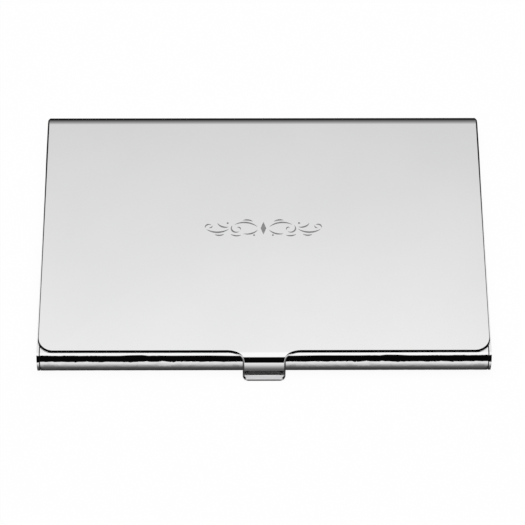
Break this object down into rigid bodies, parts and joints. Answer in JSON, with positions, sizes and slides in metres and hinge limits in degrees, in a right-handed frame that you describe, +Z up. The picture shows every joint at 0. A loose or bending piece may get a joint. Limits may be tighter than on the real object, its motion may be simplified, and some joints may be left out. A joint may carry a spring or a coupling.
{
  "type": "business card case",
  "caption": "Slim polished metal pocket case for business cards, with a hinged lid, a thumb tab, a rolled rear hinge and a card tray that lifts as the lid opens.",
  "frame": {"origin": "on the underside of the floor, on the centre line, halfway from the lid's front edge to the back of its roll", "axes": "+X along the hinge line, -Y the front with the thumb tab, +Z up through the closed lid"},
  "size_m": [0.094, 0.064, 0.0064],
  "materials": {
    "lid_sheet": "mirror polished silver plate over steel",
    "pan_sheet": "mirror polished silver plate over steel",
    "tray_sheet": "fine brushed stainless sheet",
    "rod_steel": "drawn and polished rod",
    "bracket_steel": "plain pressed sheet",
    "spring_wire": "drawn music wire",
    "washer_brass": "plain brass"
  },
  "bodies": {
    "case": {"base_pan": "pan_sheet", "hinge_rod": "rod_steel", "outer_washer_right": "washer_brass", "outer_washer_left": "washer_brass"},
    "lid": {"lid_shell": "lid_sheet", "lid_bracket_right": "bracket_steel", "lid_bracket_left": "bracket_steel"},
    "tray": {"card_tray": "tray_sheet", "lifter_spring_right": "spring_wire", "lifter_spring_left": "spring_wire", "inner_washer_right": "washer_brass", "inner_washer_left": "washer_brass"}
  },
  "joints": [
    {"name": "lid_open", "type": "hinge", "parent": "case", "child": "lid", "pos_m": [0, 0.02715, 0.00325], "axis": [-1, 0, 0], "range_deg": [0, 100]},
    {"name": "tray_lift", "type": "hinge", "parent": "case", "child": "tray", "pos_m": [0, 0.02715, 0.00325], "axis": [-1, 0, 0], "range_deg": [0, 25]}
  ],
  "couplings": [
    {"joint": "tray_lift", "follows": "lid_open", "ratio": 0.25}
  ]
}
